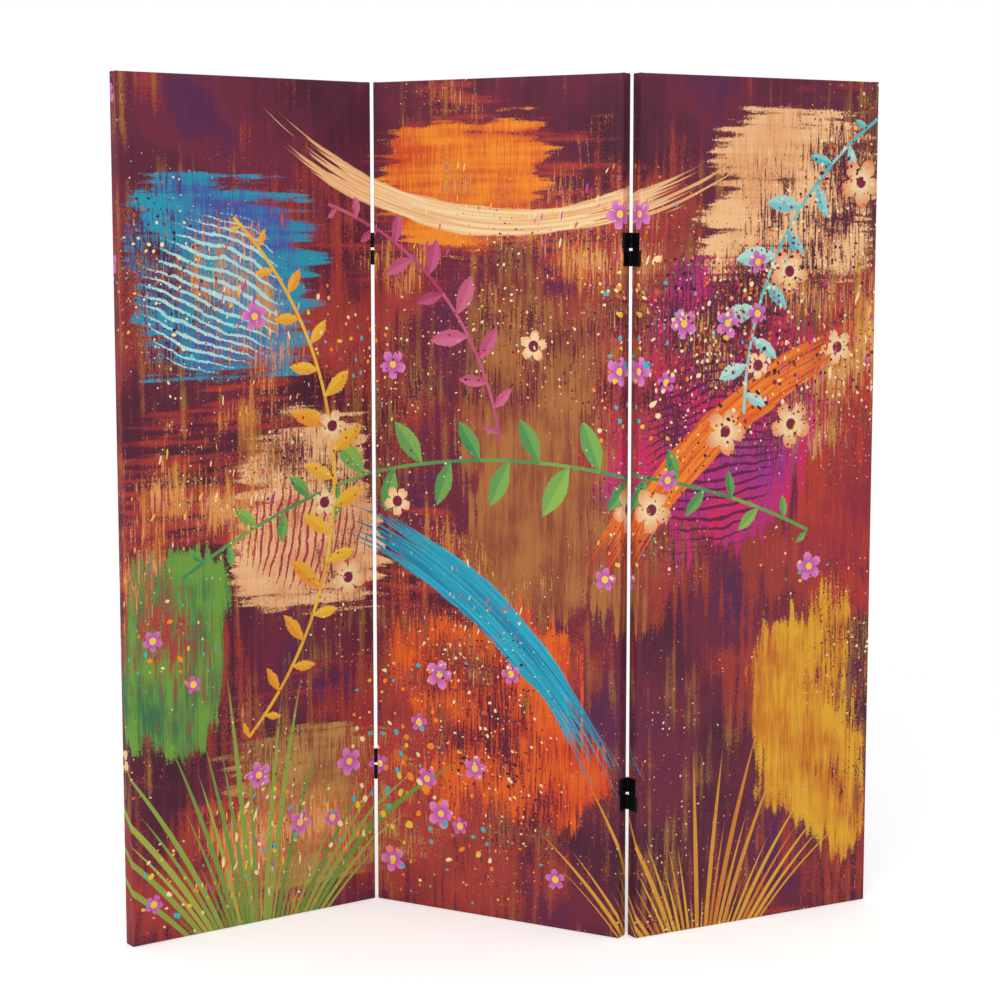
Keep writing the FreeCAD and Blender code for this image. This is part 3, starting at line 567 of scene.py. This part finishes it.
PLUM_GROUND = ((0.0, "#3f1628"), (0.3, "#531b31"), (0.5, "#5f2036"), (0.7, "#6d2338"), (1.0, "#532046"))
FRONT_LAYERS = (
    (dry_scrub, "streak", "drift", 0.42, ("#8f3a2c", "#a2322f")),
    (dry_scrub, "streak", "second_drift", 0.34, ("#a8773f", "#7c4a2a")),
    (dry_scrub, "cross", "third_drift", 0.30, ("#b5432a", "#8f2638")),
    (brush_wash, (1.02, 1.02), (0.26, 0.46), 0, "streak", ("#ac6d3a", "#8a4630")),
    (brush_wash, (0.50, 0.24), (0.34, 0.22), 5, "cross", ("#b98a4a", "#94603a")),
    (brush_wash, (1.72, 0.98), (0.16, 0.44), 0, "streak", ("#b23a2c", "#8f2638")),
    (brush_wash, (0.24, 1.40), (0.27, 0.26), 8, "cross", ("#1f93ae", "#3a56a4")),
    (brush_wash, (1.40, 1.10), (0.28, 0.38), -8, "streak", ("#c9265a", "#9a2f8c")),
    (brush_wash, (0.90, 0.44), (0.36, 0.26), 6, "streak", ("#e2621c", "#c0331f")),
    (brush_wash, (1.64, 0.42), (0.18, 0.34), 4, "streak", ("#e0a52a", "#c8711f")),
    (brush_wash, (0.09, 0.62), (0.15, 0.24), -4, "streak", ("#6c9a3c", "#2f6a48")),
    (brush_wash, (1.58, 1.56), (0.26, 0.22), 0, "cross", ("#f2bd88", "#e3a06c")),
    (brush_wash, (0.82, 1.58), (0.26, 0.18), 0, "cross", ("#ee8a24", "#d04a20")),
    (brush_wash, (0.44, 0.86), (0.20, 0.26), 0, "cross", ("#eebb86", "#dd9a68")),
    (dry_scrub, "streak", "third_drift", 0.14, ("#e0a83c", "#b8662a")),
    (dry_scrub, "cross", "second_drift", 0.12, ("#6d2338", "#4a1a38")),
    (dry_scrub, "scratch", "drift", 0.24, ("#b8472a", "#9c2c40")),
    (dry_scrub, "scratch", "second_drift", 0.26, ("#3f1628", "#5c1d36")),
    (dry_scrub, "scratch", "third_drift", 0.15, ("#e6b06a", "#d9824a")),
    (combed_lines, (1.42, 1.08), (0.20, 0.26), 8, 0.018, ("#5a1247", "#6d1838")),
    (combed_lines, (0.26, 1.40), (0.20, 0.20), -20, 0.020, ("#8ed3dc", "#bfe0d0")),
    (combed_lines, (0.46, 0.88), (0.14, 0.20), 78, 0.018, ("#b4345a", "#a33a2a")),
    (grass_tuft, (0.30, -0.25), 0.86, 34, 0.040, ("#4f8a3a", "#a8b04a"), 5.0),
    (grass_tuft, (1.36, -0.25), 0.72, 30, 0.042, ("#e3b13c", "#c9702a"), 19.0),
    (brush_sweep, (0.10, -0.30), 1.25, 0.09, (24, 76), ("#2bb0c6", "#1a7fa6"), 1.0),
    (brush_sweep, (2.05, 0.25), 1.05, 0.08, (100, 158), ("#f08a2a", "#d9531e"), 2.0),
    (brush_sweep, (0.95, 2.45), 0.95, 0.06, (-140, -50), ("#f4d5a2", "#e6a972"), 3.0),
    (leafy_stem, (0.95, -0.55), 1.55, (64, 122), 0.12, ("#2f8453", "#90b84e"), 11.0),
    (leafy_stem, (-0.28, 0.95), 0.78, (-44, 46), 0.10, ("#eebd3a", "#e08a2a"), 23.0),
    (leafy_stem, (2.20, 1.10), 0.74, (122, 188), 0.10, ("#3fb3c2", "#bfe0d0"), 37.0),
    (leafy_stem, (0.30, 0.95), 0.62, (8, 72), 0.09, ("#a8305e", "#d06a8c"), 71.0),
    (blossoms, 0.17, 0.050, "second_drift", 0.30, ("#f6dca8", "#e58a5a"), "#7a1f3a", 3.7),
    (blossoms, 0.11, 0.032, "drift", 0.26, ("#b84aa8", "#e08ac0"), "#f2c84a", 5.1),
    (paint_spots, (0.030, 0.030), 15, "drift", 0.18,
     ("#f6dca8", "#35b5c4", "#f58a1f", "#e9c23a"), 9.3),
    (paint_spots, (0.060, 0.016), 80, "third_drift", 0.18,
     ("#f6dca8", "#e9c23a", "#d65a2a", "#c2409a"), 4.1),
    (paint_spots, (0.014, 0.014), 0, "second_drift", 0.26,
     ("#3f1628", "#f6dca8", "#d65a2a", "#8f2638"), 2.2),
)
front_print = printed_canvas("printed_cotton_canvas", PLUM_GROUND, FRONT_LAYERS)
for index, panel in enumerate(PANELS):
    canvas = copy_of(wrap, f"{panel}_panel_stretched_canvas")
    for corner in canvas.data.uv_layers["print"].data:
        corner.uv.x += index * PANEL_WIDTH
    canvas.data.materials.clear()
    canvas.data.materials.append(front_print)
    put_on_panel(canvas, panel)
    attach(canvas, f"{panel}_panel")
    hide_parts(f"{panel}_panel_front_canvas")
bpy.data.objects.remove(wrap)

# Staples
# Galvanised wire staples hold the canvas's turned edge to the back of the frame, under the back canvas.
# Zinc gives the wire a pale grey, faintly mottled shine.
SPANGLE_SIZE = 0.0025
zinc, tree, shader = new_finish("galvanised_wire")
place = add(tree, "TexCoord", {}, out="Object")
spangle = add(tree, "TexNoise", {"Vector": place, "Scale": 1 / SPANGLE_SIZE}, out="Fac")
grey = add(tree, "ValToRGB", {0: spangle}, stops=((0.3, "#8f9498"), (0.7, "#bfc3c5")))
tree.links.new(grey, shader.inputs["Base Color"])
tree.links.new(add(tree, "MapRange", {0: spangle, 3: 0.3, 4: 0.5}), shader.inputs["Roughness"])
shader.inputs["Metallic"].default_value = 1.0
for panel in PANELS:
    staples = frame["nodes"][f"{panel}_panel_staples"]
    staples.data.materials.clear()
    staples.data.materials.append(zinc)

# Back canvases
# A flat printed canvas covers the frame and the turned edges on the back of each panel, 6 mm in from the
# edges all round. Its own edges are turned under, which leaves a slightly raised hem.
BACK_INSET = 0.006
HEM_WIDTH = 0.012
HEM_RISE = 0.0006
HEM_SLOPE = 0.003
BACK_WIDTH = PANEL_WIDTH - 2 * BACK_INSET
BACK_HEIGHT = PANEL_HEIGHT - 2 * BACK_INSET

bpy.ops.object.select_all(action="DESELECT")
bpy.ops.mesh.primitive_cube_add(
    size=1.0, location=(PANEL_WIDTH / 2, (WRAP_DEPTH + PANEL_DEPTH) / 2, PANEL_HEIGHT / 2))
back = bpy.context.object
back.scale = (BACK_WIDTH, PANEL_DEPTH - WRAP_DEPTH, BACK_HEIGHT)
bpy.ops.object.transform_apply(location=True, rotation=True, scale=True)
bpy.ops.object.mode_set(mode="EDIT")
pick(back, "FACE", lambda face: face.normal.y > 0.9)
bpy.ops.transform.translate(value=(0.0, HEM_RISE, 0.0))
bpy.ops.mesh.inset(thickness=HEM_WIDTH, depth=0.0)
bpy.ops.mesh.inset(thickness=HEM_SLOPE, depth=-HEM_RISE)
pick(back, "EDGE", lambda edge: not edge.is_boundary and edge.calc_face_angle() > 1.0
     and all(v.co.y > WRAP_DEPTH + CANVAS_THICK for v in edge.verts))
bpy.ops.mesh.bevel(offset=CANVAS_THICK, segments=3, affect="EDGES")
slice_up(0, [PANEL_WIDTH * i / CUTS_ACROSS for i in range(1, CUTS_ACROSS)])
slice_up(2, [PANEL_HEIGHT * i / CUTS_UP for i in range(1, CUTS_UP)])
bpy.ops.object.mode_set(mode="OBJECT")
bpy.ops.object.shade_smooth_by_angle(angle=math.radians(40))
print_map = back.data.uv_layers.active or back.data.uv_layers.new(name="print")
print_map.name = "print"
for loop in back.data.loops:
    spot = back.data.vertices[loop.vertex_index].co
    print_map.data[loop.index].uv = (PANEL_WIDTH - spot.x, spot.z)

BACK_LAYERS = (
    (dry_scrub, "streak", "second_drift", 0.42, ("#8f3a2c", "#a2322f")),
    (dry_scrub, "streak", "third_drift", 0.34, ("#a8773f", "#7c4a2a")),
    (dry_scrub, "cross", "drift", 0.30, ("#b5432a", "#8f2638")),
    (brush_wash, (0.70, 0.95), (0.26, 0.46), 0, "streak", ("#a8773f", "#8a5a38")),
    (brush_wash, (1.42, 0.22), (0.34, 0.22), 5, "cross", ("#b98a4a", "#94603a")),
    (brush_wash, (0.12, 0.90), (0.16, 0.44), 0, "streak", ("#b23a2c", "#8f2638")),
    (brush_wash, (1.45, 1.30), (0.28, 0.30), -6, "cross", ("#1f93ae", "#3a56a4")),
    (brush_wash, (0.62, 0.52), (0.30, 0.30), 8, "streak", ("#c9265a", "#9a2f8c")),
    (brush_wash, (0.28, 1.50), (0.28, 0.22), 0, "streak", ("#e2621c", "#c0331f")),
    (brush_wash, (1.20, 0.60), (0.24, 0.28), 4, "cross", ("#e0a52a", "#c8711f")),
    (brush_wash, (0.96, 1.52), (0.24, 0.20), 0, "cross", ("#f2bd88", "#e3a06c")),
    (brush_wash, (0.20, 0.40), (0.18, 0.24), 0, "cross", ("#eebb86", "#dd9a68")),
    (dry_scrub, "streak", "drift", 0.14, ("#e0a83c", "#b8662a")),
    (dry_scrub, "scratch", "third_drift", 0.24, ("#b8472a", "#9c2c40")),
    (dry_scrub, "scratch", "drift", 0.26, ("#3f1628", "#5c1d36")),
    (dry_scrub, "scratch", "second_drift", 0.15, ("#e6b06a", "#d9824a")),
    (combed_lines, (0.62, 0.54), (0.20, 0.22), 8, 0.018, ("#5a1247", "#6d1838")),
    (combed_lines, (1.46, 1.32), (0.20, 0.20), -20, 0.020, ("#8ed3dc", "#bfe0d0")),
    (grass_tuft, (0.92, -0.25), 0.82, 34, 0.040, ("#4f8a3a", "#a8b04a"), 41.0),
    (grass_tuft, (0.16, -0.25), 0.70, 30, 0.042, ("#e3b13c", "#c9702a"), 29.0),
    (brush_sweep, (1.75, -0.30), 1.20, 0.09, (96, 160), ("#2bb0c6", "#1a7fa6"), 6.0),
    (brush_sweep, (0.55, 2.15), 0.90, 0.07, (-135, -40), ("#f08a2a", "#d9531e"), 7.0),
    (leafy_stem, (0.80, -0.65), 1.55, (58, 116), 0.12, ("#2f8453", "#90b84e"), 51.0),
    (leafy_stem, (-0.20, 0.80), 0.74, (-45, 55), 0.10, ("#eebd3a", "#e08a2a"), 67.0),
    (leafy_stem, (2.05, 0.95), 0.70, (118, 178), 0.10, ("#3fb3c2", "#bfe0d0"), 83.0),
    (blossoms, 0.17, 0.050, "third_drift", 0.30, ("#f6dca8", "#e58a5a"), "#7a1f3a", 8.2),
    (blossoms, 0.11, 0.032, "second_drift", 0.26, ("#b84aa8", "#e08ac0"), "#f2c84a", 2.9),
    (paint_spots, (0.030, 0.030), 15, "second_drift", 0.18,
     ("#f6dca8", "#35b5c4", "#f58a1f", "#e9c23a"), 6.3),
    (paint_spots, (0.014, 0.014), 0, "drift", 0.26,
     ("#3f1628", "#f6dca8", "#d65a2a", "#8f2638"), 7.6),
)
back_print = printed_canvas("printed_back_canvas", PLUM_GROUND, BACK_LAYERS)
for index, panel in enumerate(reversed(PANELS)):
    cover = copy_of(back, f"{panel}_panel_back_cover")
    for corner in cover.data.uv_layers["print"].data:
        corner.uv.x += index * PANEL_WIDTH
    cover.data.materials.clear()
    cover.data.materials.append(back_print)
    put_on_panel(cover, panel)
    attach(cover, f"{panel}_panel")
    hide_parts(f"{panel}_panel_back_canvas")
bpy.data.objects.remove(back)

# Hinge leaves, links and pins
# Pressed and rolled steel, dipped in black electrocoat: a thin even film with a dull sheen. The pins are
# the same black over turned wire. The rolled knuckles run so close that no light shows between them.
HINGE_HEIGHTS = {"top": 1.445, "bottom": 0.307}
HINGED_PANELS = {"left": ("left", "middle"), "right": ("middle", "right")}
# The solids leave their knuckles 0.3 to 0.45 mm of room, which copies of the leaves and links close up
NOTCH_REACH = 0.01475
NOTCH_ROOM = 0.00045
LINK_RISE = 0.0185
LINK_KNUCKLE_HEIGHT = 0.0144
KNUCKLE_ROOM = 0.0003
RUNNING_ROOM = 0.00006
SAME_PLACE = 0.00002
MERGE_DISTANCE = 1e-6
BLACK_SPECK = 0.0012
BLACK_CLOUD = 0.025
black, tree, shader = new_finish("black_electrocoat_on_steel")
place = add(tree, "TexCoord", {}, out="Object")
film = add(tree, "TexNoise", {"Vector": place, "Scale": 1 / BLACK_SPECK, "Detail": 2.0}, out="Fac")
cloud = add(tree, "TexNoise", {"Vector": place, "Scale": 1 / BLACK_CLOUD, "Detail": 2.0}, out="Fac")
coat = add(tree, "ValToRGB", {0: cloud}, stops=((0.35, "#040404"), (0.65, "#0a090a")))
tree.links.new(coat, shader.inputs["Base Color"])
tree.links.new(add(tree, "MapRange", {0: film, 3: 0.5, 4: 0.65}), shader.inputs["Roughness"])
shader.inputs["Specular IOR Level"].default_value = 0.15
relief = add(tree, "Bump", {"Height": film, "Strength": 0.1, "Distance": 0.0001})
tree.links.new(relief, shader.inputs["Normal"])
for name, node in frame["nodes"].items():
    if name.endswith("_pins"):
        node.data.materials.clear()
        node.data.materials.append(black)


def begin_hinge_piece(node, name):
    """A copy of a hinge's solid, merged and open for editing."""
    piece = bpy.data.objects.new(name, frame["nodes"][node].data.copy())
    bpy.context.collection.objects.link(piece)
    bpy.ops.object.select_all(action="DESELECT")
    piece.select_set(True)
    bpy.context.view_layer.objects.active = piece
    bpy.ops.object.mode_set(mode="EDIT")
    bpy.ops.mesh.select_all(action="SELECT")
    bpy.ops.mesh.remove_doubles(threshold=MERGE_DISTANCE)
    return piece


def finish_hinge_piece(piece, node, body):
    """Closes a hinge piece, blackens it and lets it stand for its solid."""
    bpy.ops.object.mode_set(mode="OBJECT")
    bpy.ops.mesh.customdata_custom_splitnormals_clear()
    bpy.ops.object.shade_smooth_by_angle(angle=math.radians(35))
    piece.data.materials.clear()
    piece.data.materials.append(black)
    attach(piece, body)
    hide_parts(node)


for fold, panels in HINGED_PANELS.items():
    for level, height in HINGE_HEIGHTS.items():
        for side, panel in zip(("left", "right"), panels):
            node = f"{fold}_{level}_hinge_{side}_leaf"
            leaf = begin_hinge_piece(node, f"{fold}_{level}_hinge_{side}_rolled_leaf")
            foot = panel_foot(panel)
            deep = Matrix.Rotation(math.radians(PANEL_TURN[panel]), 3, "Z") @ Vector((0.0, 1.0, 0.0))
            for way in (-1, 1):
                pick(leaf, "VERT", lambda v: abs((v.co - foot).dot(deep) - way * NOTCH_REACH) < SAME_PLACE)
                bpy.ops.transform.translate(value=way * (NOTCH_ROOM - RUNNING_ROOM) * deep)
            finish_hinge_piece(leaf, node, f"{panel}_panel")
        for side, way_up in (("upper", 1), ("lower", -1)):
            node = f"{fold}_{level}_hinge_{side}_link"
            link = begin_hinge_piece(node, f"{fold}_{level}_hinge_{side}_rolled_link")
            for way in (-1, 1):
                end = height + way_up * LINK_RISE + way * LINK_KNUCKLE_HEIGHT / 2
                pick(link, "VERT", lambda v: abs(v.co.z - end) < SAME_PLACE)
                bpy.ops.transform.translate(value=(0.0, 0.0, way * (KNUCKLE_ROOM - RUNNING_ROOM)))
            finish_hinge_piece(link, node, f"{fold}_{side}_links")

# Hinge screws
# Countersunk steel screws with a cross recess, black like the hinges: four through each leaf and the canvas
# into the stile. Their threads are rolled, and they stop at different turns of the driver.
HEAD_RADIUS = 0.0024
SHANK_RADIUS = 0.00125
THREAD_RADIUS = 0.0014
THREAD_PITCH = 0.00125
THREAD_TOP = -0.0031
SCREW_LENGTH = 0.016
SCREW_SIDES = 20
POINT_LENGTH = 0.003
POINT_RADIUS = 0.0002
HEAD_EDGE = 0.0001
RECESS_DEPTH = 0.0013
RECESS_SPAN = 0.0027
RECESS_WIDTH = 0.0006
RECESS_TAPER = 0.45
LEAF_THICK = 0.0010
SCREW_ACROSS = 0.006
SCREW_UP = 0.023
SCREW_TURN = 0.9
HINGE_TURN = 7

bpy.ops.object.select_all(action="DESELECT")
bpy.ops.mesh.primitive_circle_add(vertices=SCREW_SIDES, radius=POINT_RADIUS, fill_type="NGON",
                                  location=(0.0, 0.0, -SCREW_LENGTH))
screw = bpy.context.object
bpy.ops.object.transform_apply(location=True, rotation=True, scale=True)
bpy.ops.object.mode_set(mode="EDIT")
bpy.ops.mesh.select_all(action="SELECT")
profile = [(-SCREW_LENGTH + POINT_LENGTH, SHANK_RADIUS)]
while profile[-1][0] + THREAD_PITCH < THREAD_TOP:
    foot = profile[-1][0]
    profile += [(foot + 0.4 * THREAD_PITCH, SHANK_RADIUS), (foot + 0.7 * THREAD_PITCH, THREAD_RADIUS),
                (foot + THREAD_PITCH, SHANK_RADIUS)]
profile += [(SHANK_RADIUS - HEAD_RADIUS, SHANK_RADIUS), (-HEAD_EDGE, HEAD_RADIUS),
            (0.0, HEAD_RADIUS - HEAD_EDGE)]
height, girth = -SCREW_LENGTH, POINT_RADIUS
for rise, radius in profile:
    bpy.ops.mesh.extrude_region_move(TRANSFORM_OT_translate={"value": (0.0, 0.0, rise - height)})
    bpy.ops.transform.resize(value=(radius / girth, radius / girth, 1.0), center_override=(0.0, 0.0, rise))
    height, girth = rise, radius
bpy.ops.mesh.select_all(action="SELECT")
bpy.ops.mesh.fill_holes(sides=0)
bpy.ops.mesh.select_all(action="SELECT")
bpy.ops.mesh.normals_make_consistent(inside=False)
bpy.ops.object.mode_set(mode="OBJECT")
for turn in (0.0, 90.0):
    bpy.ops.object.select_all(action="DESELECT")
    bpy.ops.mesh.primitive_cube_add(size=1.0, rotation=(0.0, 0.0, math.radians(turn)))
    blade = bpy.context.object
    blade.scale = (RECESS_SPAN, RECESS_WIDTH, 2 * RECESS_DEPTH)
    bpy.ops.object.transform_apply(location=True, rotation=True, scale=True)
    bpy.ops.object.mode_set(mode="EDIT")
    pick(blade, "FACE", lambda face: face.normal.z < -0.9)
    bpy.ops.transform.resize(value=(RECESS_TAPER, RECESS_TAPER, 1.0),
                             center_override=(0.0, 0.0, -RECESS_DEPTH))
    bpy.ops.object.mode_set(mode="OBJECT")
    cut = screw.modifiers.new("recess", "BOOLEAN")
    cut.operation = "DIFFERENCE"
    cut.object = blade
    apply_all(screw)
    bpy.data.objects.remove(blade)
bpy.ops.object.select_all(action="DESELECT")
screw.select_set(True)
bpy.context.view_layer.objects.active = screw
bpy.ops.object.shade_smooth_by_angle(angle=math.radians(35))
for panel, edges in (("left", ("right",)), ("middle", ("left", "right")), ("right", ("left",))):
    bpy.ops.object.select_all(action="DESELECT")
    for edge in edges:
        outside = -LEAF_THICK if edge == "left" else PANEL_WIDTH + LEAF_THICK
        facing = Matrix.Rotation(math.radians(-90 if edge == "left" else 90), 4, "Y")
        for height in HINGE_HEIGHTS.values():
            for place in range(4):
                one = copy_of(screw, f"{panel}_panel_screw")
                spot = (outside, PANEL_DEPTH / 2 + (SCREW_ACROSS if place % 2 else -SCREW_ACROSS),
                        height + (SCREW_UP if place > 1 else -SCREW_UP))
                driven = Matrix.Rotation(SCREW_TURN * place + HINGE_TURN * height, 4, "Z")
                one.data.transform(Matrix.Translation(spot) @ facing @ driven)
                one.select_set(True)
                bpy.context.view_layer.objects.active = one
    bpy.ops.object.join()
    screws = bpy.context.object
    screws.name = f"{panel}_panel_cross_recess_screws"
    screws.data.materials.clear()
    screws.data.materials.append(black)
    put_on_panel(screws, panel)
    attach(screws, f"{panel}_panel")
    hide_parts(f"{panel}_panel_hinge_screws")
bpy.data.objects.remove(screw)

# Studio
# A pale floor that fades into a white surround, an even sky and one large soft lamp at the front.
# The camera stands where the photograph was taken.
FLOOR_RADIUS = 4.0
FLOOR_DROP = 0.0005
FLOOR_GLOW = 0.30
FADE_START = 1.2
SKY_LIGHT = 0.72


def looking_rays(tree):
    """1 for what the camera sees, by itself or in metal and glass, and 0 for light that falls on things."""
    rays = add(tree, "LightPath", {}).node.outputs
    seen = add(tree, "Math", {0: rays["Is Camera Ray"], 1: rays["Is Glossy Ray"]}, operation="MAXIMUM")
    return add(tree, "Math", {0: seen, 1: rays["Is Transmission Ray"]}, operation="MAXIMUM")


bpy.ops.object.select_all(action="DESELECT")
bpy.ops.mesh.primitive_circle_add(vertices=96, radius=FLOOR_RADIUS, fill_type="NGON",
                                  location=(0.0, 0.0, -FLOOR_DROP))
floor = bpy.context.object
floor.name = "studio_floor"
bpy.ops.object.transform_apply(location=True, rotation=True, scale=True)
pale, tree, shader = new_finish("pale_floor_paint")
shader.inputs["Base Color"].default_value = linear("#fbfbfb")
shader.inputs["Roughness"].default_value = 0.9
shader.inputs["Specular IOR Level"].default_value = 0.1
place = add(tree, "TexCoord", {}, out="Object")
away = add(tree, "VectorMath", {0: place}, out="Value", operation="LENGTH")
fade = add(tree, "MapRange", {0: away, 1: FADE_START, 2: FLOOR_RADIUS}, interpolation_type="SMOOTHSTEP")
glow = add(tree, "Math", {0: looking_rays(tree), 1: FLOOR_GLOW}, operation="MULTIPLY")
lit = add(tree, "AddShader", {0: shader.outputs[0], 1: add(tree, "Emission", {"Strength": glow})})
clear = add(tree, "BsdfTransparent", {})
mixed = add(tree, "MixShader", {0: fade, 1: lit, 2: clear})
tree.links.new(mixed, tree.nodes["Material Output"].inputs["Surface"])
floor.data.materials.append(pale)
floor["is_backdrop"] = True

world = bpy.data.worlds.new("studio")
bpy.context.scene.world = world
world.use_nodes = True
sky = world.node_tree
level = add(sky, "MapRange", {0: looking_rays(sky), 3: SKY_LIGHT, 4: 1.0})
sky.nodes["Background"].inputs["Color"].default_value = (1.0, 1.0, 1.0, 1.0)
sky.links.new(level, sky.nodes["Background"].inputs["Strength"])

LAMP_PLACE = Vector((-1.0, -4.2, 3.4))
LAMP_AIM = Vector((0.0, 0.0, 0.9))
bpy.ops.object.light_add(type="AREA", location=LAMP_PLACE)
lamp = bpy.context.object
lamp.data.shape = "RECTANGLE"
lamp.data.size = 3.0
lamp.data.size_y = 2.0
lamp.data.energy = 90.0
lamp.rotation_euler = (LAMP_AIM - LAMP_PLACE).to_track_quat("-Z", "Y").to_euler()

FOCAL_PIXELS = 2256.77
IMAGE_PIXELS = 1000
CAMERA_PLACE = (0.01915, -4.75236, 1.47494)
CAMERA_DIP = 6.7026
CAMERA_TURN = 0.4118
camera_data = bpy.data.cameras.new("camera")
camera_data.sensor_width = 36.0
camera_data.lens = FOCAL_PIXELS / IMAGE_PIXELS * camera_data.sensor_width
camera = bpy.data.objects.new("camera", camera_data)
bpy.context.collection.objects.link(camera)
camera.location = CAMERA_PLACE
camera.rotation_euler = (math.radians(90 - CAMERA_DIP), 0.0, math.radians(CAMERA_TURN))
bpy.context.scene.camera = camera
bpy.context.scene.view_settings.view_transform = "Standard"

# Sizes of the solids and of the dressed screen
low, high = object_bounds()
